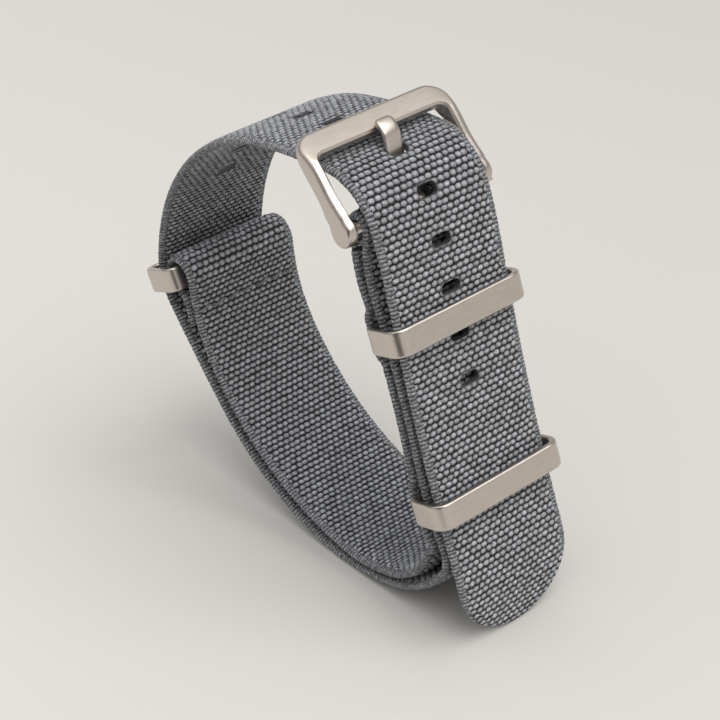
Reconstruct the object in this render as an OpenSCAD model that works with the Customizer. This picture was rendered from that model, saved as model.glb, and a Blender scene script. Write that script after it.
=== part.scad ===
/* [Webbing] */
// Width of the woven strap
strap_width = 20; // [16:0.5:22]
// Thickness of one layer of webbing
strap_thick = 1.5; // [1.2:0.05:1.55]
// Thickness of the flatter woven edge
selvedge_thick = 1.1; // [0.8:0.05:1.15]
// Width of the flatter woven edge on each side
selvedge_width = 0.6; // [0.3:0.05:1]
// Room left between parts that slide or turn on each other
running_gap = 0.06; // [0.04:0.01:0.08]

/* [Adjustment holes] */
// Distance from one hole to the next
hole_pitch = 6.7; // [6.5:0.05:6.9]
// Length of a hole across the strap
hole_width = 3.2; // [3:0.1:4]
// Width of a hole along the strap
hole_length = 1.7; // [1.4:0.05:2.4]
// Width along the strap of the hole that the tongue pulls open
pulled_length = 2.2; // [2.2:0.05:2.4]
// Distance from the tip to the nearest hole
tip_to_hole = 38.5; // [37.5:0.1:39.5]
// Number of holes
hole_count = 13; // [11:1:13]

/* [Flat keeper rings] */
// Width of the ring band along the strap
keeper_band = 3.8; // [3:0.1:4.2]
// Thickness of the ring band
keeper_thick = 1; // [0.8:0.05:1.05]
// Room between the inner straps and the tail, where the rings hold them
layer_room = 1.3; // [1.25:0.05:1.5]
// Room left inside a ring
keeper_room = 0.6; // [0.5:0.05:0.8]
// Side room between the strap edge and a ring
keeper_side_gap = 0.55; // [0.45:0.05:1]
// Outer corner radius of a ring
keeper_corner = 1.7; // [1.5:0.1:2]
// Edge rounding of the ring bands
keeper_edge = 0.3; // [0.1:0.05:0.4]
// How far a ring slides each way between its two stitch rows
keeper_play = 0.3; // [0.2:0.05:0.4]

/* [End ring] */
// Room left inside the end ring
end_room = 1.75; // [1.6:0.05:2]
// Thickness of the end ring band
end_thick = 1.15; // [1:0.05:1.2]
// Tilt of the end ring, in degrees
end_tilt = 20; // [18:0.5:22]

/* [Buckle] */
// Room between the strap's edge and a side arm, with the buckle centred
buckle_side_gap = 0.8; // [0.7:0.05:1.4]
// How far the buckle sits to one side of the strap
buckle_shift = 0.6; // [0:0.1:0.6]
// Width of the broad top bar
bar_width = 3.7; // [3:0.1:4]
// Thickness of the broad top bar
bar_thick = 1.6; // [1.4:0.05:1.65]
// Thickness of the side arms
arm_thick = 1.6; // [1.4:0.05:1.65]
// Radius of the round arm ends
arm_end_radius = 2.1; // [1.9:0.05:2.3]
// Corner radius of the buckle in plan
buckle_corner = 3; // [2:0.1:3.5]
// Diameter of the pivot bar
pivot_diameter = 1.5; // [1.3:0.05:1.55]
// Width of the tongue
tongue_width = 2.5; // [2:0.1:2.6]
// Thickness of the tongue
tongue_thick = 0.95; // [0.9:0.05:0.95]

/* [Stitching] */
// Diameter of the sewing thread
thread_diameter = 0.4; // [0.3:0.05:0.45]
// Length of one stitch
stitch_length = 2; // [1.6:0.1:2.4]
// Distance from one stitch to the next
stitch_pitch = 2.9; // [2.6:0.1:3.2]

/* [Hidden] */

WEBBING = "slategray";
METAL = "antiquewhite";
THREAD = "dimgray";

// Bend per facet of a curved stretch of webbing, in degrees
BEND_STEP = 6;
// Sides of a full circle
ROUND = 48;
// Overshoot of a cut past the face it opens
CUT = 1;

// A pose is [x, z, heading]: a place in the side view and the direction of travel in degrees.
// A stretch is [length, turn]: how far it runs and how far it bends on the way, left positive.
function advance(p, run, turn) =
    abs(turn) < 0.01
        ? [p[0] + run * cos(p[2]), p[1] + run * sin(p[2]), p[2]]
        : let (r = run * 180 / (PI * turn), h = p[2] + turn)
          [p[0] + r * (sin(h) - sin(p[2])), p[1] - r * (cos(h) - cos(p[2])), h];

function total(route, i = 0) = i >= len(route) ? 0 : route[i][0] + total(route, i + 1);

// The pose at distance s along a route
function pose_at(p, route, s, i = 0) =
    let (run = route[i][0], turn = route[i][1])
    (s <= run || i == len(route) - 1)
        ? advance(p, s, turn * s / run)
        : pose_at(advance(p, run, turn), route, s - run, i + 1);

// Distances along a route at which its outline has points
function marks(route, from = 0, i = 0) =
    i >= len(route)
        ? [from]
        : let (run = route[i][0], n = max(1, ceil(abs(route[i][1]) / BEND_STEP)))
          concat([for (k = [0 : n - 1]) from + run * k / n], marks(route, from + run, i + 1));

// A point beside a pose, to the left of the direction of travel
function beside(p, off) = [p[0] - off * sin(p[2]), p[1] + off * cos(p[2])];

// A pose moved sideways
function shifted(p, off) = concat(beside(p, off), p[2]);

// The outline of a layer of the given thickness along a list of poses
function layer(poses, thick) = concat(
    [for (p = poses) beside(p, thick / 2)],
    [for (i = [len(poses) - 1 : -1 : 0]) beside(poses[i], -thick / 2)]
);

// A run of an arc about a centre, from one angle to another
function arc(centre, r, from, to, n) =
    [for (i = [0 : n]) let (a = from + (to - from) * i / n) centre + r * [cos(a), sin(a)]];

// Route of the long strap, from its folded end at the buckle round the wrist to the tip
pivot = [19.4, 61.34];
pivot_radius = pivot_diameter / 2;
fold_radius = pivot_radius + running_gap + strap_thick / 2;
// Room round the folded webbing in the slot that lets the tongue through
slot_reach = 0.12;
fold_leg = 3.2;
fold_heading = 93;
fold_turn = -191;
fold_run = fold_radius * PI * abs(fold_turn) / 180;
fold_foot = beside(concat(pivot, fold_heading), fold_radius);
long_start = [
    fold_foot[0] - fold_leg * cos(fold_heading),
    fold_foot[1] - fold_leg * sin(fold_heading),
    fold_heading
];
route_to_tail = [
    [fold_leg, 0],
    [fold_run, fold_turn],
    [2.5, 0],
    [7.3, 28],
    [23.1, -10.1],
    [14.2, 13.6],
    [4.9, -59.2],
    [16, -39.3],
    [43.4, -66.6],
    [17.8, -3.6],
    [8.5, -49.8],
    [26.6, -37.1],
    [19.6, -28.9],
    [15.2, -10.4],
    [3.3, -19.6],
    [7.5, -51.4],
    [8.6, -7.9],
    [23.9, 3.6],
    [18.2, 3.5]
];

// The tongue stands in one of the holes, counted from the tip. The tail ends as far past that
// place as the holes and their distance to the tip ask for.
pulled_hole = 6;
pulled_place = fold_leg + fold_run + 201.13;
tip_place = pulled_place + (pulled_hole - 1) * hole_pitch + tip_to_hole;
tail_turn = -27;
long_route = concat(route_to_tail, [[tip_place - total(route_to_tail), tail_turn]]);
long_length = total(long_route);

function on_long(s) = pose_at(long_start, long_route, s);

// Places of the stitch rows and rings along the long strap's inner run
row_buckle = fold_leg + 9.2;
row_upper_top = fold_leg + 15.9;
upper_place = fold_leg + 20.4;
row_upper_base = fold_leg + 25.4;
row_lower_top = fold_leg + 41.5;
lower_place = fold_leg + 46;
row_lower_base = fold_leg + 51.4;
inner_join = fold_leg + 76.8;

// The short strap follows the long one inside it. Its distance closes at a stitch row and
// opens where a ring passes between the two.
sewn_gap = 0.5;
tunnel_gap = keeper_thick + 0.55;
tunnel_reach = keeper_band / 2 + keeper_play + 0.1;
row_reach = 0.4;
gap_knots = [
    [fold_leg + 8.3, 0.85],
    [row_upper_top - row_reach, sewn_gap],
    [row_upper_top + row_reach, sewn_gap],
    [upper_place - tunnel_reach, tunnel_gap],
    [upper_place + tunnel_reach, tunnel_gap],
    [row_upper_base - row_reach, sewn_gap],
    [row_lower_top + row_reach, sewn_gap],
    [lower_place - tunnel_reach, tunnel_gap],
    [lower_place + tunnel_reach, tunnel_gap],
    [row_lower_base - row_reach, 0.75],
    [row_lower_base + row_reach, 0.75],
    [fold_leg + 56.8, 2.2],
    [fold_leg + 60.8, 1.25],
    [fold_leg + 64.8, 0.6],
    [fold_leg + 70.8, 0.2],
    [inner_join, 0.15]
];

function gap_at(s, i = 0) =
    i >= len(gap_knots) - 1 || s <= gap_knots[0][0]
        ? gap_knots[min(i, len(gap_knots) - 1)][1]
        : s <= gap_knots[i + 1][0]
            ? let (a = gap_knots[i], b = gap_knots[i + 1], t = (s - a[0]) / (b[0] - a[0]))
              a[1] + (b[1] - a[1]) * (1 - cos(180 * t)) / 2
            : gap_at(s, i + 1);

// Pose of the short strap beside the long one, turned to follow the changing gap
function on_inner(s) =
    let (p = on_long(s), d = 0.2, slope = (gap_at(s + d) - gap_at(s - d)) / (2 * d))
    concat(beside(p, -strap_thick - gap_at(s)), p[2] - atan(slope));

// From the join on, the short strap has its own route, up to the loop that holds the end ring
short_top = fold_leg + 8.9;
loop_room = 0.165;
loop_radius = norm([keeper_band, end_thick]) / 2 + loop_room + strap_thick / 2;
loop_turn = 241;
inner_route = [
    [8, -19.9],
    [16.3, -20.9],
    [19.1, -29.1],
    [9.6, -24.7],
    [4.2, -7],
    [loop_radius * PI * loop_turn / 180, loop_turn],
    [1.4, 0],
    [2.4, -53],
    [3, 8]
];
inner_start = on_inner(inner_join);
before_loop = total([for (i = [0 : 4]) inner_route[i]]);
row_end_fold = before_loop - 4.6;

function on_own(s) = pose_at(inner_start, inner_route, s);

loop_centre = beside(on_own(before_loop), loop_radius);

// Stations of the whole short strap
inner_step = 1;
short_poses = concat(
    [for (s = [short_top : inner_step : inner_join - inner_step / 2]) on_inner(s)],
    [for (s = marks(inner_route)) on_own(s)]
);

// Sizes that follow from what a piece goes round
buckle_width = strap_width + 2 * (buckle_side_gap + arm_thick);
keeper_depth = tunnel_gap / 2 + 2 * strap_thick + layer_room + keeper_room + 1.5 * keeper_thick;
end_depth = loop_radius + 1.5 * strap_thick + end_room + 1.5 * end_thick;
ring_width = strap_width + 2 * (keeper_side_gap + keeper_thick);
end_width = strap_width + 2 * (keeper_side_gap + end_thick);

// The buckle's middle plane is Y = 0. The strap lies beside it, and the tongue between the two,
// within the play of its hole.
strap_side = buckle_shift;
tongue_shift = min(buckle_shift, (hole_width - tongue_width) / 2 - 0.14);
tongue_slot = tongue_width + 2 * tongue_shift + 0.3;

// Webbing: a full layer with thinner edges
module webbing(poses) {
    translate([0, strap_side, 0]) rotate([90, 0, 0]) {
        linear_extrude(height = strap_width - 2 * selvedge_width, center = true)
            polygon(layer(poses, strap_thick));
        linear_extrude(height = strap_width, center = true)
            polygon(layer(poses, selvedge_thick));
    }
}

// Puts its children at a pose: their X runs along the strap, Z outwards from it
module at_pose(p, side = strap_side) {
    translate([p[0], side, p[1]]) rotate([0, -p[2], 0]) children();
}

// A slot with round corners through one layer, long across the strap
module hole(length) {
    reach = strap_thick + CUT;
    corner = 0.5;
    cube([length, hole_width - 2 * corner, reach], center = true);
    cube([length - 2 * corner, hole_width, reach], center = true);
    for (x = [-1, 1], y = [-1, 1])
        translate([x * (length / 2 - corner), y * (hole_width / 2 - corner), 0])
            cylinder(r = corner, h = reach, center = true, $fn = ROUND / 2);
}

// The last stretch of the long strap, cut to a half-round tip
tip_run = 16;

module tip_piece() {
    tip_radius = strap_width / 2;
    from = long_length - tip_run;
    poses = [for (s = concat([from], [for (m = marks(long_route)) if (m > from) m])) on_long(s)];
    chord = poses[len(poses) - 1] - poses[0];
    length = norm([chord[0], chord[1]]);
    intersection() {
        webbing(poses);
        at_pose([poses[0][0], poses[0][1], atan2(chord[1], chord[0])])
            translate([0, 0, -strap_width / 2]) linear_extrude(height = strap_width) {
                translate([-CUT, -strap_width]) square([CUT + length - tip_radius, 2 * strap_width]);
                translate([length - tip_radius, 0]) circle(r = tip_radius, $fn = 2 * ROUND);
            }
    }
}

module long_strap() {
    color(WEBBING) difference() {
        union() {
            webbing([for (s = concat([for (m = marks(long_route)) if (m < long_length - tip_run) m],
                [long_length - tip_run])) on_long(s)]);
            tip_piece();
        }
        for (k = [0 : hole_count - 1])
            at_pose(on_long(long_length - tip_to_hole - k * hole_pitch))
                hole(k == pulled_hole - 1 ? pulled_length : hole_length);
        translate([pivot[0], strap_side, pivot[1]]) rotate([90, 0, 0])
            cylinder(r = pivot_radius + strap_thick + slot_reach, h = tongue_slot, center = true, $fn = ROUND);
    }
}

module short_strap() {
    color(WEBBING) webbing(short_poses);
}

// A bar whose cross-section is a rectangle with round edges
module soft_section(w, h, r) {
    square([w - 2 * r, h], center = true);
    square([w, h - 2 * r], center = true);
    for (x = [-1, 1], y = [-1, 1])
        translate([x * (w / 2 - r), y * (h / 2 - r)]) circle(r = r, $fn = ROUND / 2);
}

// A flat rectangular ring with round corners. X runs along the strap, Y across it, Z through it.
// Its outer bar lies at +Z, and its inner bar's middle is at the origin.
module flat_ring(depth, width, thick) {
    bend = keeper_corner - thick / 2;
    far = depth - thick;
    half = width / 2 - thick / 2;
    // Bars along Y
    for (z = [0, far])
        translate([0, 0, z]) rotate([90, 0, 0]) rotate(90)
            linear_extrude(height = 2 * (half - bend), center = true)
                soft_section(thick, keeper_band, keeper_edge);
    for (side = [-1, 1]) {
        // Side bars along Z
        translate([0, side * half, bend]) rotate(90)
            linear_extrude(height = far - 2 * bend)
                soft_section(thick, keeper_band, keeper_edge);
        // Corners
        for (z = [0, far])
            translate([0, side * (half - bend), z == 0 ? bend : far - bend])
                rotate([0, 90, 0]) rotate(side > 0 ? (z == 0 ? 0 : 90) : (z == 0 ? 270 : 180))
                    rotate_extrude(angle = 90, $fn = ROUND)
                        translate([bend, 0]) soft_section(thick, keeper_band, keeper_edge);
    }
}

keeper_lean = -1.5;

// Middle of a ring's inner bar, under the long strap's inner run
function ring_pose(s) =
    let (p = on_long(s), q = beside(p, -strap_thick / 2 - tunnel_gap / 2))
    [q[0], q[1], p[2] + keeper_lean];

module upper_keeper() {
    color(METAL) at_pose(ring_pose(upper_place)) flat_ring(keeper_depth, ring_width, keeper_thick);
}

module lower_keeper() {
    color(METAL) at_pose(ring_pose(lower_place)) flat_ring(keeper_depth, ring_width, keeper_thick);
}

module end_ring() {
    color(METAL) at_pose(concat(loop_centre, 90 + end_tilt)) flat_ring(end_depth, end_width, end_thick);
}

// Buckle, in its own plane: u runs from the pivot to the top bar, n outwards
buckle_lean = 127;
buckle_round = 0.35;
bar_tilt = 24;
bar_inner = [10.46, 1.68];

function along_bar(w, t) = bar_inner + w * [cos(bar_tilt), -sin(bar_tilt)] - t * [sin(bar_tilt), cos(bar_tilt)];

// Side view of the buckle: round arm end, slim waist, tilted top bar
buckle_side = concat(
    arc([0.2, 0.8], arm_end_radius, 80, 280, 14),
    [[2.4, -0.85], [3.6, -0.45], [5, -0.3], [9, -0.55]],
    [along_bar(bar_width / 2, bar_thick), along_bar(bar_width + CUT, bar_thick)],
    [along_bar(bar_width + CUT, 0), bar_inner],
    [[9.6, 2.05], [8, 2.15], [5, 2.15], [3, 2.45], [1.8, 2.75]]
);

// Plan of the buckle, or of its opening, measured from the bar's inner edge
module buckle_plan(far, width, corner) {
    reach = 20;
    translate([-reach, -width / 2]) square([reach + far - corner, width]);
    translate([-reach, -width / 2 + corner]) square([reach + far, width - 2 * corner]);
    for (side = [-1, 1])
        translate([far - corner, side * (width / 2 - corner)]) circle(r = corner, $fn = ROUND / 2);
}

module along_bar_axis() {
    depth = 20;
    translate([bar_inner[0], 0, bar_inner[1]]) rotate([0, bar_tilt, 0])
        translate([0, 0, -depth / 2]) linear_extrude(height = depth) children();
}

module buckle_body() {
    r = buckle_round;
    difference() {
        intersection() {
            rotate([90, 0, 0]) linear_extrude(height = buckle_width - 2 * r, center = true)
                offset(delta = -r) polygon(buckle_side);
            along_bar_axis() buckle_plan(bar_width - r, buckle_width - 2 * r, buckle_corner - r);
        }
        along_bar_axis() buckle_plan(r, buckle_width - 2 * arm_thick + 2 * r, 1 + r);
    }
}

// The pivot bar is a spring bar: its slim tips seat in blind holes in the arms
pivot_tip_radius = 0.45;
pivot_tip = 1;
tip_gap = 0.03;
bar_end_gap = 0.05;
arm_gap = buckle_width - 2 * arm_thick;

module buckle_frame() {
    color(METAL) difference() {
        at_pose(concat(pivot, buckle_lean), 0) mirror([0, 0, 1]) minkowski() {
            buckle_body();
            sphere(r = buckle_round, $fn = 12);
        }
        for (side = [-1, 1])
            translate([pivot[0], side * arm_gap / 2, pivot[1]]) rotate([90, 0, 0])
                cylinder(r = pivot_tip_radius + tip_gap, h = 2 * (pivot_tip + bar_end_gap),
                    center = true, $fn = ROUND);
    }
}

module pivot_bar() {
    body = arm_gap - 2 * bar_end_gap;
    color(METAL) translate([pivot[0], 0, pivot[1]]) rotate([90, 0, 0]) {
        cylinder(r = pivot_radius, h = body, center = true, $fn = ROUND);
        cylinder(r = pivot_tip_radius, h = body + 2 * pivot_tip, center = true, $fn = ROUND);
    }
}

// Tongue: an eye round the pivot bar, a shank that rises through the hole, a tip on the top bar
tongue_round = 0.25;
eye_wall = 0.75;
tongue_start = concat(pivot, 118.8);
tongue_route = [[5.8, 0], [1.5, -20.5], [1.5, 0], [2.6, 56], [0.4, 0]];

module buckle_tongue() {
    core = tongue_thick - 2 * tongue_round;
    color(METAL) translate([0, strap_side - tongue_shift, 0]) difference() {
        minkowski() {
            rotate([90, 0, 0]) linear_extrude(height = tongue_width - 2 * tongue_round, center = true) {
                polygon(layer([for (s = marks(tongue_route)) pose_at(tongue_start, tongue_route, s)], core));
                translate(pivot) circle(r = pivot_radius + eye_wall - tongue_round, $fn = ROUND / 2);
            }
            sphere(r = tongue_round, $fn = 12);
        }
        translate([pivot[0], 0, pivot[1]]) rotate([90, 0, 0])
            cylinder(r = pivot_radius + running_gap, h = tongue_width + CUT, center = true, $fn = ROUND);
    }
}

// Thread lies this far off the webbing, and the ends of a row reach past its second layer
thread_gap = 0.05;
end_turn = 1;
row_back = 0.3;

// A row of stitches across the strap on the face at height face, with a turn of thread over each
// edge that reaches to height back. X runs along the strap, Z outwards from it.
module stitch_row(face, back) {
    r = thread_diameter / 2;
    level = face - r - thread_gap;
    edge = strap_width / 2 + r + thread_gap;
    count = floor((strap_width - stitch_length) / stitch_pitch / 2);
    color(THREAD) {
        for (k = [-count : count])
            translate([0, k * stitch_pitch, level]) rotate([90, 0, 0])
                cylinder(r = r, h = stitch_length, center = true, $fn = 16);
        for (side = [-1, 1])
            translate([0, side * edge, level]) {
                cylinder(r = r, h = back - level, $fn = 16);
                sphere(r = r, $fn = 16);
                rotate([side * 90, 0, 0]) cylinder(r = r, h = end_turn, $fn = 16);
            }
    }
}

module sewn_row(s) {
    at_pose(on_inner(s)) stitch_row(-strap_thick / 2, strap_thick * (1 + row_back) + gap_at(s));
}

module buckle_stitching() { sewn_row(row_buckle); }
module upper_top_stitching() { sewn_row(row_upper_top); }
module upper_base_stitching() { sewn_row(row_upper_base); }
module lower_top_stitching() { sewn_row(row_lower_top); }
module lower_base_stitching() { sewn_row(row_lower_base); }
module end_fold_stitching() {
    at_pose(on_own(row_end_fold)) stitch_row(-strap_thick / 2, strap_thick * (1 + row_back));
}

long_strap();
short_strap();
buckle_frame();
pivot_bar();
buckle_tongue();
upper_keeper();
lower_keeper();
end_ring();
buckle_stitching();
upper_top_stitching();
upper_base_stitching();
lower_top_stitching();
lower_base_stitching();
end_fold_stitching();
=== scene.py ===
import math
import random

import bpy
from mathutils import Matrix, Vector, noise


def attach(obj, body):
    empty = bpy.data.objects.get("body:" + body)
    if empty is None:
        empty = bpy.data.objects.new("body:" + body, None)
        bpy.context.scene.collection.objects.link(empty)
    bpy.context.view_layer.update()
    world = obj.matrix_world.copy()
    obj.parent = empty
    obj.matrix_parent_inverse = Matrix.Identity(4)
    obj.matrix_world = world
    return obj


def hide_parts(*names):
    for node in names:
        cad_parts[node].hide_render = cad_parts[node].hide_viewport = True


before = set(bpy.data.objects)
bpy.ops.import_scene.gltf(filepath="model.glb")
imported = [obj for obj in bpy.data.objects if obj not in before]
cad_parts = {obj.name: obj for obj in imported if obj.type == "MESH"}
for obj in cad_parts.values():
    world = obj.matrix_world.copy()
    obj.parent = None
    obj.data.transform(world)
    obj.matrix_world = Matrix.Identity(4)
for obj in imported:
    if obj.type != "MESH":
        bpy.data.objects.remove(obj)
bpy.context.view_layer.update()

MM = 0.001

# How near points are merged: straps are laid out in millimetres, metal is made in metres
STRAP_MERGE = 0.0001
METAL_MERGE = 0.0000002
CAD_MERGE = 0.000002

# Webbing, in millimetres
STRAP_WIDTH = 20.0
STRAP_THICK = 1.5
SELVEDGE_THICK = 1.2
STRAP_SIDE = 0.6
BEAD = 1.05
BEADS_ACROSS = 17
FACE_HALF = BEADS_ACROSS * BEAD / 2
ROW = 0.893
BEAD_ALONG = 0.5
BEAD_ASIDE = 0.57
BEAD_SQUARE = 2.4
BEAD_CROWN = 0.55
BEAD_JITTER = 0.12
RELIEF = 0.3
EDGE_RELIEF = 0.08
EDGE_FADE = 0.8
RIB_SLANT = 0.12
COLUMNS_PER_BEAD = 4
STATIONS_PER_ROW = 3
EDGE_POINTS = 5
WANDER = 0.07
WANDER_SCALE = 0.8
WANDER_PLANE = 3.1
WANDER_ASIDE = Vector((40, 7, 1))

# Adjustment holes and tip
HOLE_PITCH = 6.7
HOLE_WIDTH = 3.2
HOLE_LENGTH = 1.7
PULLED_LENGTH = 2.2
PULLED_HOLE = 6
HOLE_CORNER = 0.75
RIM_WIDTH = 0.6
RIM_DEPTH = 0.12
RIM_LEVEL = 0.6
TIP_TO_HOLE = 38.5
HOLE_COUNT = 13
TIP_END_HALF = 0.3

# Normals by which the faces of a flat strap are told apart, and its material slots
END_FACING = 0.99
WALL_FACING = 0.2
EDGE_FACING = 0.9
HOLE_SLACK = 0.05
QUAD = 4
EDGE_SLOT = 1
CUT_SLOT = 2

# A turn of fewer degrees than this counts as straight
STRAIGHT_TURN = 0.01

# Long strap: where its end folds round the pivot bar, and its route as (length, turn in degrees)
PIVOT = (19.4, 61.34)
PIVOT_RADIUS = 0.75
RUNNING_GAP = 0.06
FOLD_LEG = 3.2
FOLD_HEADING = 93.0
FOLD_TURN = -191.0
FOLD_RADIUS = PIVOT_RADIUS + RUNNING_GAP + STRAP_THICK / 2
FOLD_RUN = FOLD_RADIUS * math.radians(-FOLD_TURN)
LONG_ROUTE = [
    (FOLD_LEG, 0), (FOLD_RUN, FOLD_TURN), (2.5, 0), (7.3, 28), (23.1, -10.1),
    (14.2, 13.6), (4.9, -59.2), (16, -39.3), (43.4, -66.6), (17.8, -3.6),
    (8.5, -49.8), (26.6, -37.1), (19.6, -28.9), (15.2, -10.4), (3.3, -19.6),
    (7.5, -51.4), (8.6, -7.9), (23.9, 3.6), (18.2, 3.5), (12.53, -27),
]
TONGUE_SLOT = (2.4, 9.0, 3.22)
TONGUE_SLOT_CORNER = 0.4
LONG_SPLIT = 150.0

# Stitch rows, ring places and the gap between the two straps along the inner run
ROW_BUCKLE = 12.4
ROW_UPPER_TOP = 19.1
UPPER_PLACE = 23.6
ROW_UPPER_BASE = 28.6
ROW_LOWER_TOP = 44.7
LOWER_PLACE = 49.2
ROW_LOWER_BASE = 54.6
INNER_JOIN = 80.0
SHORT_TOP = 12.1
SEWN_GAP = 0.5
TUNNEL_GAP = 1.55
TUNNEL_REACH = 2.3
ROW_REACH = 0.4
SLOPE_STEP = 0.2
GAP_KNOTS = [
    (11.5, 0.85),
    (ROW_UPPER_TOP - ROW_REACH, SEWN_GAP), (ROW_UPPER_TOP + ROW_REACH, SEWN_GAP),
    (UPPER_PLACE - TUNNEL_REACH, TUNNEL_GAP), (UPPER_PLACE + TUNNEL_REACH, TUNNEL_GAP),
    (ROW_UPPER_BASE - ROW_REACH, SEWN_GAP), (ROW_LOWER_TOP + ROW_REACH, SEWN_GAP),
    (LOWER_PLACE - TUNNEL_REACH, TUNNEL_GAP), (LOWER_PLACE + TUNNEL_REACH, TUNNEL_GAP),
    (ROW_LOWER_BASE - ROW_REACH, 0.75), (ROW_LOWER_BASE + ROW_REACH, 0.75),
    (60, 2.2), (64, 1.25), (68, 0.6), (74, 0.2), (INNER_JOIN, 0.15),
]
LOOP_INSIDE = 2.15
LOOP_RADIUS = LOOP_INSIDE + STRAP_THICK / 2
LOOP_TURN = 241.0
SHORT_ROUTE = [
    (8, -19.9), (16.3, -20.9), (19.1, -29.1), (9.6, -24.7), (4.2, -7),
    (LOOP_RADIUS * math.radians(LOOP_TURN), LOOP_TURN), (1.4, 0), (2.4, -53), (3, 8),
]
BEFORE_LOOP = sum(run for run, turn in SHORT_ROUTE[:5])
ROW_TO_LOOP = 4.6
ROW_END_FOLD = BEFORE_LOOP - ROW_TO_LOOP

# Stitches, each of two plies, and the pits that they pull
THREAD = 0.4
STITCH_LENGTH = 2.1
STITCH_PITCH = 2.8
STITCHES_EACH_SIDE = 3
STITCH_SINK = THREAD * 0.22
STITCH_DIP = 0.35
DIP_POWER = 5
STITCH_LEAN = (0.05, 0.35)
PLY_RADIUS = THREAD * 0.36
PLY_OFFSET = THREAD * 0.2
PLY_TWIST = math.pi * 1.6
PLY_SIDES = 8
PLY_CUTS = 12
PIT_RADIUS = 0.6
PIT_DEPTH = 0.3
PIT_REACH = 3

# Buckle frame: u runs from the pivot bar to the top bar, n outwards
BUCKLE_LEAN = 127.0
BUCKLE_WIDTH = 24.8
ARM_THICK = 1.6
ARM_END = (0.2, 0.8)
ARM_END_RADIUS = 2.1
BAR_INNER = (10.46, 1.68)
BAR_TILT = 24.0
BAR_WIDTH = 3.7
BAR_THICK = 1.6
BUCKLE_CORNER = 3.0
WINDOW_CORNER = 1.3
TOP_EDGE = [(1.8, 2.75), (3, 2.45), (5, 2.15), (8, 2.15), (9.6, 2.05), BAR_INNER]
BASE_EDGE = [(2.4, -0.85), (3.6, -0.45), (5, -0.3), (9, -0.55)]
BAR_INNER_THICK = 1.5
OUTER_ROUND = 0.85
INNER_BEVEL = 0.3
BASE_ROUND = 0.45
ROUND_STEPS = 5
ROUND_OF_HEIGHT = 0.49
ROUND_OF_WIDTH = 0.6
BEVEL_OF_HEIGHT = 0.45
LEAST_HEIGHT = 0.02
ARM_END_REACH = 1.4
ARM_END_STEPS = 12
ARM_STEPS = 31
CORNER_STEPS = 16
BAR_STEPS = 16
SMOOTHING_STEPS = (-0.4, -0.2, 0.0, 0.2, 0.4)
SMOOTHING_START = 4
THINNING_START = 1.0

# Tongue
TONGUE_WIDTH = 2.8
TONGUE_THICK = 0.95
TONGUE_SIDE = 0.48
TONGUE_START = (*PIVOT, 118.8)
TONGUE_ROUTE = [(5.8, 0), (1.5, -20.5), (1.5, 0), (2.6, 56), (0.65, 0)]
EYE_WALL = 0.75
EYE_SQUARE = (0.6, 0.35)
EYE_STEPS = 40
EYE_SIDES = 20
SHANK_START = 1.0
SHANK_SQUARE = (0.45, 0.6)
SHANK_STEPS = 60
SHANK_SIDES = 28
TIP_REACH = 0.9
TIP_THIN = 0.02
TIP_WIDTH = 0.35
TIP_END_WIDTH = 0.3

# Rings
RING_BAND = 3.8
RING_EDGE = 0.34
RING_FLAT = 0.15
RING_BEND_STEPS = 10
RING_EDGE_STEPS = 5
KEEPER_THICK = 1.0
KEEPER_SIZE = (7.175, 23.1)
KEEPER_CORNERS = (1.7, 2.4)
KEEPER_LEAN = -1.5
END_THICK = 1.15
END_SIZE = (8.625, 23.4)
END_CORNERS = (1.9, 2.4)
END_TILT = 20.0

# Angles in degrees under which neighbouring faces are shaded as one
SMOOTH_STRAP = 50.0
SMOOTH_FRAME = 32.0
SMOOTH_TONGUE = 60.0
SMOOTH_METAL = 40.0

# Webbing's colours: greys by height, near black in the gaps as painted shade, and brightnesses as a factor
# and an amount added
WEBBING_TINT = (0.955, 0.99, 1.06)
WEAVE_GREYS_GAP_SHADE = ((0.0, 0.003), (0.35, 0.022), (0.62, 0.17), (1.0, 0.43))
SWAY = 0.22
SWAY_SCALE = 0.55
FIBRE_STRETCH = (3.4, 5.6, 1.0)
FIBRE_TURN = math.radians(25)
FIBRE_BUMP = 0.6
BEAD_BRIGHTNESS = (0.34, 0.82)
FIBRE_BRIGHTNESS = (2.8, -0.4)
# Painted highlight: each row of beads lighter at its start and darker towards its end
ROW_PAINTED_HIGHLIGHT = (-0.8, 1.48)
CLOUD_BRIGHTNESS = (0.25, 0.88)
RIM_SHADE = 0.7
RIM_GREY = 0.16
SELVEDGE_PITCH = 1.6
SELVEDGE_UNEVEN = 0.5
SELVEDGE_CROWN = 2.4
SELVEDGE_FIBRE_BUMP = 1.5
SELVEDGE_DIM = (0.35, 0.35, 0.35, 1)
SELVEDGE_BRIGHT = (1.2, 1.2, 1.2, 1)

# Finish of thread and metal
THREAD_DARK = (0.07, 0.068, 0.064, 1)
THREAD_LIGHT = (0.24, 0.232, 0.22, 1)
NICKEL_LOW = (0.52, 0.468, 0.428, 1)
NICKEL_HIGH = (0.62, 0.568, 0.525, 1)
NICKEL_ROUGHNESS = 0.19
ROUGHNESS_CHANGE = 0.12
BRUSH_STRETCH = (9000.0, 500.0, 9000.0)

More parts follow.
